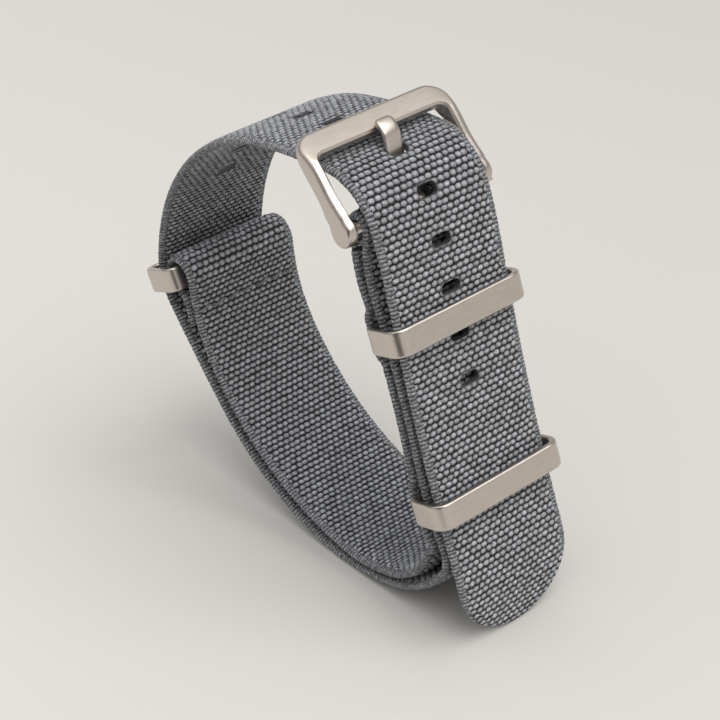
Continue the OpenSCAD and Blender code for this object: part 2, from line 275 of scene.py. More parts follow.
# Camera, floor and light
CAMERA_PLACE = Vector((0.17916, -0.12600, 0.16629))
CAMERA_RIGHT = Vector((0.6268, 0.7742, -0.0881))
CAMERA_UP = Vector((-0.3693, 0.3947, 0.8413))
CAMERA_LENS = 87.5
CAMERA_SENSOR = 36
CAMERA_CLIP = 0.01
FLOOR_SIZE = 6
FLOOR_COLOUR = (0.618, 0.6, 0.572)
FLOOR_NEAR = 1.04
FLOOR_FAR = 0.87
FLOOR_AWAY = (-0.181, 1.362, 0.0)
FLOOR_FADE = (2.6, 0.28)
SKY_STRENGTH = 0.6
SKY_LOW = (0.2, 0.197, 0.193, 1)
SKY_HIGH = (1.7, 1.7, 1.7, 1)
SKY_TOP = 0.8
ROOM_LEVELS = ((0.1, 1.17), (0.3, 0.43), (0.6, 0.64), (0.85, 1.7))
SUN_STRENGTH = 1.66
SUN_FROM = Vector((0.72, 0.16, 1.05))
SUN_SPREAD = 58.0
SUN_COLOUR = (1.0, 0.985, 0.96)
CARD_PLACE = Vector((0.095, -0.105, 0.04))
CARD_WIDTH = 0.075
CARD_HEIGHT = 0.14
CARD_COLOUR = (0.03, 0.03, 0.03, 1)


def advance(pose, run, turn):
    """The pose after a stretch of a route. A pose is x, z and heading in degrees."""
    x, z, heading = pose
    a = math.radians(heading)
    if abs(turn) < STRAIGHT_TURN:
        return (x + run * math.cos(a), z + run * math.sin(a), heading)
    radius = run / math.radians(turn)
    b = math.radians(heading + turn)
    x += radius * (math.sin(b) - math.sin(a))
    z -= radius * (math.cos(b) - math.cos(a))
    return (x, z, heading + turn)


def pose_along(start, route, distance):
    """The pose at a distance along a route."""
    pose = start
    for run, turn in route[:-1]:
        if distance <= run:
            return advance(pose, distance, turn * distance / run)
        pose = advance(pose, run, turn)
        distance -= run
    run, turn = route[-1]
    return advance(pose, distance, turn * distance / run)


def beside(pose, offset):
    """The pose moved sideways, to the left of its heading."""
    a = math.radians(pose[2])
    return (pose[0] - offset * math.sin(a), pose[1] + offset * math.cos(a), pose[2])


def start_of_long():
    """The pose of the long strap's end, found back from the pivot bar that it folds round."""
    foot = beside((*PIVOT, FOLD_HEADING), FOLD_RADIUS)
    a = math.radians(FOLD_HEADING)
    return (foot[0] - FOLD_LEG * math.cos(a), foot[1] - FOLD_LEG * math.sin(a), FOLD_HEADING)


LONG_START = start_of_long()
LONG_LENGTH = sum(run for run, turn in LONG_ROUTE)


def on_long(distance):
    """The pose of the long strap at a distance from its folded end."""
    return pose_along(LONG_START, LONG_ROUTE, distance)


def gap_at(distance):
    """The gap between the long strap and the short strap inside it."""
    if distance <= GAP_KNOTS[0][0]:
        return GAP_KNOTS[0][1]
    for (a, low), (b, high) in zip(GAP_KNOTS, GAP_KNOTS[1:]):
        if distance <= b:
            t = (distance - a) / (b - a)
            return low + (high - low) * (1 - math.cos(math.pi * t)) / 2
    return GAP_KNOTS[-1][1]


def on_inner(distance):
    """The pose of the short strap where it follows the long one."""
    slope = (gap_at(distance + SLOPE_STEP) - gap_at(distance - SLOPE_STEP)) / (2 * SLOPE_STEP)
    x, z, heading = beside(on_long(distance), -STRAP_THICK - gap_at(distance))
    return (x, z, heading - math.degrees(math.atan(slope)))


SHORT_START = on_inner(INNER_JOIN)
SHORT_LENGTH = INNER_JOIN - SHORT_TOP + sum(run for run, turn in SHORT_ROUTE)


def on_short(distance):
    """The pose of the short strap at a distance from its top end."""
    if distance < INNER_JOIN - SHORT_TOP:
        return on_inner(distance + SHORT_TOP)
    return pose_along(SHORT_START, SHORT_ROUTE, distance - (INNER_JOIN - SHORT_TOP))


def deselect_all():
    bpy.ops.object.select_all(action="DESELECT")


def pick(piece):
    """Selects one piece alone and makes it active."""
    deselect_all()
    piece.select_set(True)
    bpy.context.view_layer.objects.active = piece


def finish_piece(piece, name, body, node):
    """Names a piece, lets it ride on its body and puts it in a node's place."""
    piece.name = name
    piece.data.name = name
    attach(piece, body)
    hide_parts(node)


# Woven relief

def bead_relief(distance, across):
    """Height of the weave, 0 in the gaps and 1 on a bead: rows of beads, each row half a bead aside."""
    row = math.floor(distance / ROW)
    along = abs(distance / ROW - row - 0.5) / BEAD_ALONG
    bead = across / BEAD + 0.5 * (row % 2)
    aside = abs(bead - math.floor(bead) - 0.5) / BEAD_ASIDE
    return max(0.0, 1 - along ** BEAD_SQUARE - aside ** BEAD_SQUARE) ** BEAD_CROWN


def rib_relief(distance):
    """Height of the ribs along an edge, one to a row."""
    along = abs(2 * (distance / ROW - math.floor(distance / ROW)) - 1)
    return 1 - along ** 2


def strap_section():
    """Points round the strap's cross-section as (across, up, out across, out up, edge)."""
    edge = STRAP_WIDTH / 2 - FACE_HALF
    columns = BEADS_ACROSS * COLUMNS_PER_BEAD
    points = []
    for side in (1, -1):
        for k in range(columns + 1):
            across = side * (-FACE_HALF + 2 * FACE_HALF * k / columns)
            fade = max(0.0, (abs(across) - (FACE_HALF - EDGE_FADE)) / EDGE_FADE)
            half = STRAP_THICK / 2 - (STRAP_THICK - SELVEDGE_THICK) / 2 * fade
            points.append((across, side * half, 0.0, float(side), False))
        for k in range(1, EDGE_POINTS + 1):
            a = math.radians(90 - 180 * k / (EDGE_POINTS + 1))
            out = side * math.cos(a)
            rise = side * math.sin(a)
            points.append((side * FACE_HALF + edge * out, SELVEDGE_THICK / 2 * rise, out, rise, True))
    return points


def smooth_pits(distance, across, pits):
    """How deep the stitches pull the webbing in at a place."""
    depth = 0.0
    for row, sides in pits:
        if abs(distance - row) > PIT_REACH * PIT_RADIUS:
            continue
        for place in sides:
            far = math.hypot(distance - row, across - place) / PIT_RADIUS
            depth = max(depth, PIT_DEPTH * math.exp(-far * far))
    return depth


def rim_share(distance, across, holes):
    """How much a place belongs to the pressed rim of a hole, from 0 to 1 at the hole's edge."""
    for centre, length in holes:
        out_x = abs(distance - centre) - (length / 2 - HOLE_CORNER)
        if out_x > HOLE_CORNER + RIM_WIDTH:
            continue
        out_y = abs(across) - (HOLE_WIDTH / 2 - HOLE_CORNER)
        past = math.hypot(max(out_x, 0.0), max(out_y, 0.0)) - HOLE_CORNER
        if past < RIM_WIDTH:
            t = 1 - max(past, 0.0) / RIM_WIDTH
            return t * t * (3 - 2 * t)
    return 0.0


def tube(stations, around, place, merge):
    """A closed tube from a grid. A point's place follows from its share along and its count round."""
    deselect_all()
    bpy.ops.mesh.primitive_grid_add(x_subdivisions=stations, y_subdivisions=around, size=1)
    piece = bpy.context.object
    for vertex in piece.data.vertices:
        vertex.co = place(vertex.co.x + 0.5, round((vertex.co.y + 0.5) * around) % around)
    bpy.ops.object.mode_set(mode="EDIT")
    bpy.ops.mesh.select_all(action="SELECT")
    bpy.ops.mesh.remove_doubles(threshold=merge)
    bpy.ops.mesh.select_all(action="DESELECT")
    bpy.ops.mesh.select_non_manifold()
    bpy.ops.mesh.edge_face_add()
    bpy.ops.mesh.select_all(action="SELECT")
    bpy.ops.mesh.normals_make_consistent(inside=False)
    bpy.ops.object.mode_set(mode="OBJECT")
    return piece


def flat_strap(low, high, half_width, pits, holes):
    """A closed woven strap laid out flat: X along it from low to high, Y across it, Z outwards."""
    section = strap_section()

    def place(share, count):
        distance = low + (high - low) * share
        across, up, out_across, out_up, edge = section[count]
        across *= half_width(distance) / (STRAP_WIDTH / 2)
        if edge:
            lift = EDGE_RELIEF * (rib_relief(distance + RIB_SLANT * up) - 1)
        else:
            rim = rim_share(distance, across, holes)
            bead = bead_relief(distance, across + FACE_HALF)
            lift = RELIEF * (bead + (RIM_LEVEL - bead) * rim - 1) - RIM_DEPTH * rim
            if out_up < 0:
                lift -= smooth_pits(distance, across, pits)
        return (distance, across + out_across * lift, up + out_up * lift)

    stations = round((high - low) / ROW * STATIONS_PER_ROW)
    return tube(stations, len(section), place, STRAP_MERGE)


def cut_slot(piece, centre, length, width, corner):
    """A slot with round corners cut through a flat strap, from face to face."""
    mesh = piece.data
    pick(piece)
    bpy.ops.object.mode_set(mode="EDIT")
    bpy.ops.mesh.select_mode(type="FACE")
    bpy.ops.mesh.select_all(action="DESELECT")
    bpy.ops.object.mode_set(mode="OBJECT")
    for face in mesh.polygons:
        x, y, z = face.center
        inside = abs(x - centre) < length / 2 and abs(y) < width / 2
        face.select = inside and abs(face.normal.x) < END_FACING
    bpy.ops.object.mode_set(mode="EDIT")
    bpy.ops.mesh.delete(type="FACE")
    bpy.ops.mesh.select_mode(type="EDGE")
    bpy.ops.mesh.select_all(action="DESELECT")
    bpy.ops.mesh.select_non_manifold(extend=False, use_wire=False, use_multi_face=False, use_verts=False)
    bpy.ops.object.mode_set(mode="OBJECT")
    for vertex in mesh.vertices:
        if vertex.select:
            x, y = on_slot_edge(vertex.co.x - centre, vertex.co.y, length, width, corner)
            vertex.co.x = x + centre
            vertex.co.y = y
    bpy.ops.object.mode_set(mode="EDIT")
    bpy.ops.mesh.bridge_edge_loops()
    bpy.ops.object.mode_set(mode="OBJECT")


def on_slot_edge(x, y, length, width, corner):
    """Moves a point near the edge of a slot onto its outline."""
    reach = max(abs(x) / (length / 2), abs(y) / (width / 2))
    x /= reach
    y /= reach
    past_x = abs(x) - (length / 2 - corner)
    past_y = abs(y) - (width / 2 - corner)
    if past_x > 0 and past_y > 0:
        scale = corner / math.hypot(past_x, past_y)
        x = math.copysign(length / 2 - corner + past_x * scale, x)
        y = math.copysign(width / 2 - corner + past_y * scale, y)
    return x, y


def map_weave(piece):
    """Gives a flat strap its UV map: rows along U and beads along V."""
    mesh = piece.data
    layer = mesh.uv_layers[0].data
    for loop in mesh.loops:
        x, y, z = mesh.vertices[loop.vertex_index].co
        layer[loop.index].uv = (x / ROW, y / BEAD + BEADS_ACROSS / 2)


def paint_weave(piece, holes):
    """Gives a flat strap its woven faces, ribbed edges and cut ends, and marks the rims of its holes."""
    for material in (WEBBING, SELVEDGE, CUT_END):
        piece.data.materials.append(material)
    for face in piece.data.polygons:
        corners = len(face.vertices)
        steep = abs(face.normal.z) < WALL_FACING and corners == QUAD
        if corners > QUAD or (steep and abs(face.center.y) < HOLE_WIDTH / 2 + HOLE_SLACK):
            face.material_index = CUT_SLOT
        elif abs(face.center.y) > FACE_HALF or abs(face.normal.y) > EDGE_FACING:
            face.material_index = EDGE_SLOT
    mark = piece.data.attributes.new("pressed_rim", "FLOAT", "POINT")
    for vertex in piece.data.vertices:
        mark.data[vertex.index].value = rim_share(vertex.co.x, vertex.co.y, holes)


def lay_along(piece, pose_at):
    """Bends a flat strap along its route and brings it to metres."""
    for vertex in piece.data.vertices:
        x, y, z = vertex.co
        spot = Vector((x * WANDER_SCALE, y * WANDER_SCALE, WANDER_PLANE))
        x += WANDER * noise.noise(spot)
        y += WANDER * noise.noise(spot + WANDER_ASIDE)
        place = beside(pose_at(x), z)
        vertex.co = (place[0] * MM, (y + STRAP_SIDE) * MM, place[1] * MM)


def finish_strap(piece, name, pose_at, node, holes=()):
    """Maps, paints and bends a flat strap, and puts it in its node's place."""
    map_weave(piece)
    paint_weave(piece, holes)
    lay_along(piece, pose_at)
    pick(piece)
    bpy.ops.object.shade_smooth_by_angle(angle=math.radians(SMOOTH_STRAP))
    finish_piece(piece, name, "strap", node)


# Materials

class Graph:
    """A node tree with short calls for what it needs."""

    def __init__(self, tree):
        self.tree = tree

    def node(self, kind, **settings):
        made = self.tree.nodes.new(kind)
        for key, value in settings.items():
            setattr(made, key, value)
        return made

    def feed(self, socket, value):
        if isinstance(value, bpy.types.NodeSocket):
            self.tree.links.new(value, socket)
        elif value is not None:
            socket.default_value = value

    def math(self, operation, first, second=None, third=None):
        made = self.node("ShaderNodeMath", operation=operation)
        for socket, value in zip(made.inputs, (first, second, third)):
            self.feed(socket, value)
        return made.outputs[0]

    def vector_math(self, operation, first, second, third=None):
        made = self.node("ShaderNodeVectorMath", operation=operation)
        for socket, value in zip(made.inputs, (first, second, third)):
            self.feed(socket, value)
        return made.outputs["Value" if operation == "DOT_PRODUCT" else "Vector"]

    def parts(self, vector):
        made = self.node("ShaderNodeSeparateXYZ")
        self.feed(made.inputs[0], vector)
        return made.outputs

    def stretched(self, vector, scale, turn=0.0):
        made = self.node("ShaderNodeMapping")
        made.inputs["Scale"].default_value = scale
        made.inputs["Rotation"].default_value = (0, 0, turn)
        self.feed(made.inputs["Vector"], vector)
        return made.outputs[0]

    def mix(self, share, first, second, blend="MIX"):
        made = self.node("ShaderNodeMix", data_type="RGBA", blend_type=blend)
        self.feed(made.inputs["Factor"], share)
        self.feed(made.inputs["A"], first)
        self.feed(made.inputs["B"], second)
        return made.outputs["Result"]

    def ramp(self, value, *stops):
        made = self.node("ShaderNodeValToRGB")
        self.feed(made.inputs[0], value)
        points = made.color_ramp.elements
        while len(points) < len(stops):
            points.new(0.5)
        for point, (place, colour) in zip(points, stops):
            point.position = place
            point.color = colour
        return made.outputs["Color"]

    def noise(self, vector, scale, detail):
        made = self.node("ShaderNodeTexNoise")
        self.feed(made.inputs["Vector"], vector)
        made.inputs["Scale"].default_value = scale
        made.inputs["Detail"].default_value = detail
        return made.outputs["Fac"]


class Shader(Graph):
    """A node material."""

    def __init__(self, name):
        self.material = bpy.data.materials.new(name)
        self.material.use_nodes = True
        super().__init__(self.material.node_tree)
        self.surface = self.tree.nodes["Principled BSDF"]

    def place(self):
        return self.node("ShaderNodeTexCoord").outputs["Object"]

    def bump(self, height, strength, distance):
        made = self.node("ShaderNodeBump")
        made.inputs["Strength"].default_value = strength
        made.inputs["Distance"].default_value = distance
        self.feed(made.inputs["Height"], height)
        self.tree.links.new(made.outputs[0], self.surface.inputs["Normal"])

    def set(self, **values):
        for key, value in values.items():
            self.feed(self.surface.inputs[key.replace("_", " ")], value)


def grey(level):
    """A grey with the webbing's slight blue."""
    return (*(level * part for part in WEBBING_TINT), 1)


def weave_height(shader, along, across):
    """Height of the beads, each a little out of its place, and a chance value for each bead."""
    row = shader.math("FLOOR", along)
    odd = shader.math("MULTIPLY", shader.math("FLOORED_MODULO", row, 2.0), 0.5)
    bead = shader.math("ADD", across, odd)
    number = shader.node("ShaderNodeCombineXYZ")
    shader.feed(number.inputs[0], row)
    shader.feed(number.inputs[1], shader.math("FLOOR", bead))
    chance = shader.node("ShaderNodeTexWhiteNoise")
    shader.feed(chance.inputs["Vector"], number.outputs[0])
    shifts = shader.node("ShaderNodeSeparateColor")
    shader.feed(shifts.inputs[0], chance.outputs["Color"])

    def fall(place, shift, reach):
        middle = shader.math("MULTIPLY_ADD", shift, BEAD_JITTER, 0.5 - BEAD_JITTER / 2)
        off = shader.math("ABSOLUTE", shader.math("SUBTRACT", shader.math("FRACT", place), middle))
        return shader.math("POWER", shader.math("DIVIDE", off, reach), BEAD_SQUARE)

    fall_row = fall(along, shifts.outputs[0], BEAD_ALONG)
    fall_bead = fall(bead, shifts.outputs[1], BEAD_ASIDE)
    left = shader.math("SUBTRACT", shader.math("SUBTRACT", 1.0, fall_row), fall_bead)
    height = shader.math("POWER", shader.math("MAXIMUM", left, 0.0), BEAD_CROWN)
    return height, shifts.outputs[2]


def webbing_material():
    """Beads of uneven brightness with fibres across them, a painted highlight along each row and painted
    shade in the gaps between, flatter at the holes.
    """
    shader = Shader("woven_webbing")
    uv = shader.node("ShaderNodeUVMap").outputs[0]
    sway = shader.node("ShaderNodeTexNoise")
    shader.feed(sway.inputs["Vector"], uv)
    sway.inputs["Scale"].default_value = SWAY_SCALE
    swayed = shader.vector_math("MULTIPLY_ADD", sway.outputs["Color"], (SWAY, SWAY, 0.0), uv)
    along, across, up = shader.parts(shader.vector_math("SUBTRACT", swayed, (SWAY / 2, SWAY / 2, 0.0)))
    height, chance = weave_height(shader, along, across)
    fibres = shader.noise(shader.stretched(uv, FIBRE_STRETCH, FIBRE_TURN), scale=1.3, detail=2.0)
    cloud = shader.noise(uv, scale=0.12, detail=2.0)
    bright = 1.0
    # Brightness per bead, from the fibres and a slow cloud, and a painted highlight lighter at the start of
    # each row
    for value, brightness in (
            (chance, BEAD_BRIGHTNESS), (fibres, FIBRE_BRIGHTNESS),
            (shader.math("FRACT", along), ROW_PAINTED_HIGHLIGHT), (cloud, CLOUD_BRIGHTNESS)):
        bright = shader.math("MULTIPLY", bright, shader.math("MULTIPLY_ADD", value, *brightness))
    tone = shader.node("ShaderNodeCombineColor")
    for socket in tone.inputs[:3]:
        shader.feed(socket, bright)
    # Painted shade: the greys fall to near black in the gaps between beads
    colour = shader.ramp(height, *((place, grey(level)) for place, level in WEAVE_GREYS_GAP_SHADE))
    woven = shader.mix(1.0, colour, tone.outputs[0], "MULTIPLY")
    rim = shader.node("ShaderNodeAttribute", attribute_name="pressed_rim").outputs["Fac"]
    shader.set(Base_Color=shader.mix(shader.math("MULTIPLY", rim, RIM_SHADE), woven, grey(RIM_GREY)))
    shader.bump(shader.math("MULTIPLY_ADD", fibres, FIBRE_BUMP, height), strength=1.0, distance=0.0005)
    shader.set(Roughness=0.48, Sheen_Weight=0.08, Sheen_Roughness=0.4)
    return shader.material


def selvedge_material():
    """Fine ribs across the strap's edge, a little uneven, with painted shade between them."""
    shader = Shader("fine_selvedge")
    along = shader.parts(shader.node("ShaderNodeUVMap").outputs[0])[0]
    fibres = shader.noise(shader.place(), scale=2400.0, detail=3.0)
    uneven = shader.math("MULTIPLY", fibres, SELVEDGE_UNEVEN)
    place = shader.math("MULTIPLY_ADD", along, SELVEDGE_PITCH, uneven)
    wave = shader.math("ABSOLUTE", shader.math("MULTIPLY_ADD", shader.math("FRACT", place), 2.0, -1.0))
    height = shader.math("SUBTRACT", 1.0, shader.math("POWER", wave, SELVEDGE_CROWN))
    # Painted shade: near black in the valleys between the ribs
    colour = shader.ramp(height, (0.0, grey(0.02)), (0.35, grey(0.14)), (1.0, grey(0.34)))
    shade = shader.ramp(fibres, (0.35, SELVEDGE_DIM), (0.65, SELVEDGE_BRIGHT))
    shader.set(Base_Color=shader.mix(1.0, colour, shade, "MULTIPLY"))
    relief = shader.math("MULTIPLY_ADD", fibres, SELVEDGE_FIBRE_BUMP, height)
    shader.bump(relief, strength=0.9, distance=0.00025)
    shader.set(Roughness=0.55, Sheen_Weight=0.08, Sheen_Roughness=0.4)
    return shader.material


def cut_end_material():
    """Melted webbing at the walls of the holes and the cut ends, painted near black as shade inside the
    holes.
    """
    shader = Shader("sealed_cut_hole_shade")
    grain = shader.noise(shader.place(), scale=3500.0, detail=4.0)
    # Painted shade: the hole walls and cut ends near black, on melted webbing
    shader.set(Base_Color=shader.ramp(grain, (0.3, grey(0.03)), (0.7, grey(0.1))))
    shader.bump(grain, strength=0.5, distance=0.00015)
    shader.set(Roughness=0.6)
    return shader.material


def thread_material():
    """Dull grey thread with a fine grain."""
    shader = Shader("sewing_thread")
    grain = shader.noise(shader.place(), scale=6000.0, detail=2.0)
    shader.set(Base_Color=shader.ramp(grain, (0.3, THREAD_DARK), (0.7, THREAD_LIGHT)))
    shader.bump(grain, strength=0.3, distance=0.0001)
    shader.set(Roughness=0.5, Sheen_Weight=0.1)
    return shader.material


def nickel_material():
    """Satin nickel with fine brush lines across the strap."""
    shader = Shader("satin_nickel")
    lines = shader.noise(shader.stretched(shader.place(), BRUSH_STRETCH), scale=1.0, detail=4.0)
    cloud = shader.noise(shader.place(), scale=260.0, detail=2.0)
    shader.set(Base_Color=shader.ramp(lines, (0.25, NICKEL_LOW), (0.75, NICKEL_HIGH)))
    roughness = shader.math("MULTIPLY_ADD", lines, ROUGHNESS_CHANGE, NICKEL_ROUGHNESS)
    shader.set(Roughness=shader.math("MULTIPLY_ADD", cloud, ROUGHNESS_CHANGE, roughness))
    shader.bump(lines, strength=0.03, distance=0.00003)
    shader.set(Metallic=1.0)
    return shader.material


WEBBING = webbing_material()
SELVEDGE = selvedge_material()
CUT_END = cut_end_material()
THREAD_MATERIAL = thread_material()
NICKEL = nickel_material()


# Straps

def stitch_places():
    """The middles of a row's stitches, across the strap."""
    return [k * STITCH_PITCH for k in range(-STITCHES_EACH_SIDE, STITCHES_EACH_SIDE + 1)]


def stitch_ends():
    """The ends of a row's stitches, where they pull the webbing in."""
    return [place + side * STITCH_LENGTH / 2 for place in stitch_places() for side in (-1, 1)]


def tip_half_width(distance):
    """Half the strap's width, less at the half-round tip."""
    radius = STRAP_WIDTH / 2
    past = distance - (LONG_LENGTH - radius)
    if past <= 0:
        return radius
    return math.sqrt(max(radius * radius - past * past, TIP_END_HALF ** 2))


def full_half_width(distance):
    """Half the strap's width where it is the same all along."""
    return STRAP_WIDTH / 2


def make_long_strap():
    """The long strap in two pieces: its folded base with the tongue's slot, and its tail with the holes."""
    base = flat_strap(0, LONG_SPLIT, full_half_width, [], [])
    start, end, width = TONGUE_SLOT
    cut_slot(base, (start + end) / 2, end - start, width, TONGUE_SLOT_CORNER)
    finish_strap(base, "long_strap_base", on_long, "long_strap")
    holes = []
    for k in range(HOLE_COUNT):
        length = PULLED_LENGTH if k == PULLED_HOLE - 1 else HOLE_LENGTH
        holes.append((LONG_LENGTH - TIP_TO_HOLE - k * HOLE_PITCH, length))
    tail = flat_strap(LONG_SPLIT, LONG_LENGTH, tip_half_width, [], holes)
    for centre, length in holes:
        cut_slot(tail, centre, length, HOLE_WIDTH, HOLE_CORNER)
    finish_strap(tail, "long_strap_tail", on_long, "long_strap", holes)


def make_short_strap():
    """The short strap, pulled in where the rows of stitches hold it."""
    rows = [ROW_BUCKLE, ROW_UPPER_TOP, ROW_UPPER_BASE, ROW_LOWER_TOP, ROW_LOWER_BASE]
    rows.append(INNER_JOIN + ROW_END_FOLD)
    pits = [(row - SHORT_TOP, stitch_ends()) for row in rows]
    strap = flat_strap(0, SHORT_LENGTH, full_half_width, pits, [])
    finish_strap(strap, "short_strap_woven", on_short, "short_strap")


# Stitches

def make_stitch():
    """One stitch along Y at the origin: two plies wound round each other, ends turned down."""
    plies = []
    for turn in (0.0, math.pi):
        deselect_all()
        bpy.ops.mesh.primitive_cylinder_add(vertices=PLY_SIDES, radius=PLY_RADIUS, depth=STITCH_LENGTH,
                                            rotation=(math.pi / 2, 0, 0), end_fill_type="NGON")
        ply = bpy.context.object
        bpy.ops.object.transform_apply(location=False, rotation=True, scale=True)
        bpy.ops.object.mode_set(mode="EDIT")
        for cut in range(1, PLY_CUTS):
            place = STITCH_LENGTH * (cut / PLY_CUTS - 0.5)
            bpy.ops.mesh.select_all(action="SELECT")
            bpy.ops.mesh.bisect(plane_co=(0, place, 0), plane_no=(0, 1, 0))
        bpy.ops.object.mode_set(mode="OBJECT")
        for vertex in ply.data.vertices:
            share = vertex.co.y / (STITCH_LENGTH / 2)
            angle = turn + share * PLY_TWIST
            vertex.co.x += PLY_OFFSET * math.cos(angle)
            vertex.co.z += PLY_OFFSET * math.sin(angle) - STITCH_DIP * abs(share) ** DIP_POWER
        plies.append(ply)
    deselect_all()
    for ply in plies:
        ply.select_set(True)
    bpy.context.view_layer.objects.active = plies[0]
    bpy.ops.object.join()
    bpy.ops.object.shade_smooth()
    return plies[0]


def make_stitch_row(stitch, name, pose, node):
    """A row of stitches on the inner face of the webbing at a pose."""
    level = -STRAP_THICK / 2 - STITCH_SINK
    a = math.radians(pose[2])
    turn = Matrix(((math.cos(a), 0, -math.sin(a)), (0, 1, 0), (math.sin(a), 0, math.cos(a))))
    copies = []
    rng = random.Random(len(name))
    for place in stitch_places():
        copy = bpy.data.objects.new("stitch", stitch.data.copy())
        bpy.context.collection.objects.link(copy)
        lean = rng.uniform(*STITCH_LEAN)
        for vertex in copy.data.vertices:
            x, y, z = vertex.co
            moved = turn @ Vector((x + lean * y, y + place, level - z))
            vertex.co = ((moved.x + pose[0]) * MM, (moved.y + STRAP_SIDE) * MM, (moved.z + pose[1]) * MM)
        copy.data.flip_normals()
        copies.append(copy)
    deselect_all()
    for copy in copies:
        copy.select_set(True)
    bpy.context.view_layer.objects.active = copies[0]
    bpy.ops.object.join()
    row = copies[0]
    row.data.materials.append(THREAD_MATERIAL)
    finish_piece(row, name, "strap", node)


def make_stitching():
    """The six rows of stitches, all from one stitch."""
    stitch = make_stitch()
    rows = {
        "buckle_stitching": ROW_BUCKLE,
        "upper_top_stitching": ROW_UPPER_TOP,
        "upper_base_stitching": ROW_UPPER_BASE,
        "lower_top_stitching": ROW_LOWER_TOP,
        "lower_base_stitching": ROW_LOWER_BASE,
    }
    for node, place in rows.items():
        make_stitch_row(stitch, node.replace("stitching", "stitches"), on_inner(place), node)
    fold = on_short(INNER_JOIN - SHORT_TOP + ROW_END_FOLD)
    make_stitch_row(stitch, "end_fold_stitches", fold, "end_fold_stitching")
    bpy.data.objects.remove(stitch)


# Hardware

def finish_metal(piece, name, body, node, angle):
    """Shades a metal piece smooth up to an angle in degrees, and gives it its nickel."""
    pick(piece)
    bpy.ops.object.shade_smooth_by_angle(angle=math.radians(angle))
    piece.data.materials.clear()
    piece.data.materials.append(NICKEL)
    finish_piece(piece, name, body, node)


def polish(node, name, body):
    """A smooth-shaded copy of a metal node."""
    piece = bpy.data.objects.new(name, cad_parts[node].data.copy())
    bpy.context.collection.objects.link(piece)
    pick(piece)
    bpy.ops.object.mode_set(mode="EDIT")
    bpy.ops.mesh.select_all(action="SELECT")
    bpy.ops.mesh.remove_doubles(threshold=CAD_MERGE)
    bpy.ops.object.mode_set(mode="OBJECT")
    finish_metal(piece, name, body, node, SMOOTH_METAL)


def to_bar(u, n):
    """A point in the tilted plane of the buckle's bar: how far along the plane, and how deep below it."""
    a = math.radians(BAR_TILT)
    u -= BAR_INNER[0]
    n -= BAR_INNER[1]
    return (u * math.cos(a) - n * math.sin(a), -u * math.sin(a) - n * math.cos(a))


def on_buckle(along, y, deep):
    """World place of a point of the tilted plane."""
    a = math.radians(BAR_TILT)
    u = BAR_INNER[0] + along * math.cos(a) - deep * math.sin(a)
    n = BAR_INNER[1] - along * math.sin(a) - deep * math.cos(a)
    b = math.radians(BUCKLE_LEAN)
    x = PIVOT[0] + u * math.cos(b) + n * math.sin(b)
    z = PIVOT[1] + u * math.sin(b) - n * math.cos(b)
    return (x * MM, y * MM, z * MM)


def on_line(points, along):
    """Depth of a line of points at a place along it."""
    for (a, low), (b, high) in zip(points, points[1:]):
        if along <= b:
            return low + (high - low) * (along - a) / (b - a)
    return points[-1][1]


END_AT = to_bar(*ARM_END)
FRAME_START = END_AT[0] - ARM_END_RADIUS
TOP_LINE = [to_bar(u, n) for u, n in TOP_EDGE] + [(BAR_WIDTH, 0.0)]
BASE_LINE = [to_bar(u, n) for u, n in BASE_EDGE] + [(BAR_WIDTH / 2, BAR_THICK), (BAR_WIDTH, BAR_THICK)]


def arm_depth(line, side, along):
    """Depth of the frame's top (side -1) or underside (side 1), which are round at the arm's end."""
    if along >= line[0][0]:
        return on_line(line, along)
    rise = math.sqrt(max(0.0, ARM_END_RADIUS ** 2 - (along - END_AT[0]) ** 2))
    round_end = END_AT[1] + side * rise
    share = max(0.0, (along - END_AT[0]) / (line[0][0] - END_AT[0]))
    return round_end + (line[0][1] - round_end) * share * share


def frame_depths(along, y):
    """Smoothed depths of the frame's top and underside. The bar is thinner at its inner edge."""
    depths = []
    reach = min(1.0, (along - FRAME_START) / SMOOTHING_START)
    for line, side in ((TOP_LINE, -1), (BASE_LINE, 1)):
        total = sum(arm_depth(line, side, along + step * reach) for step in SMOOTHING_STEPS)
        depths.append(total / len(SMOOTHING_STEPS))
    inner_side = BUCKLE_WIDTH / 2 - ARM_THICK
    share = min(1.0, max(0.0, (inner_side - abs(y)) / WINDOW_CORNER))
    share = share * share * (3 - 2 * share) * min(1.0, max(0.0, along + THINNING_START))
    thin = BAR_INNER_THICK + (BAR_THICK - BAR_INNER_THICK) * min(1.0, max(0.0, along / BAR_WIDTH))
    depths[1] += (min(thin, depths[1]) - depths[1]) * share
    return depths


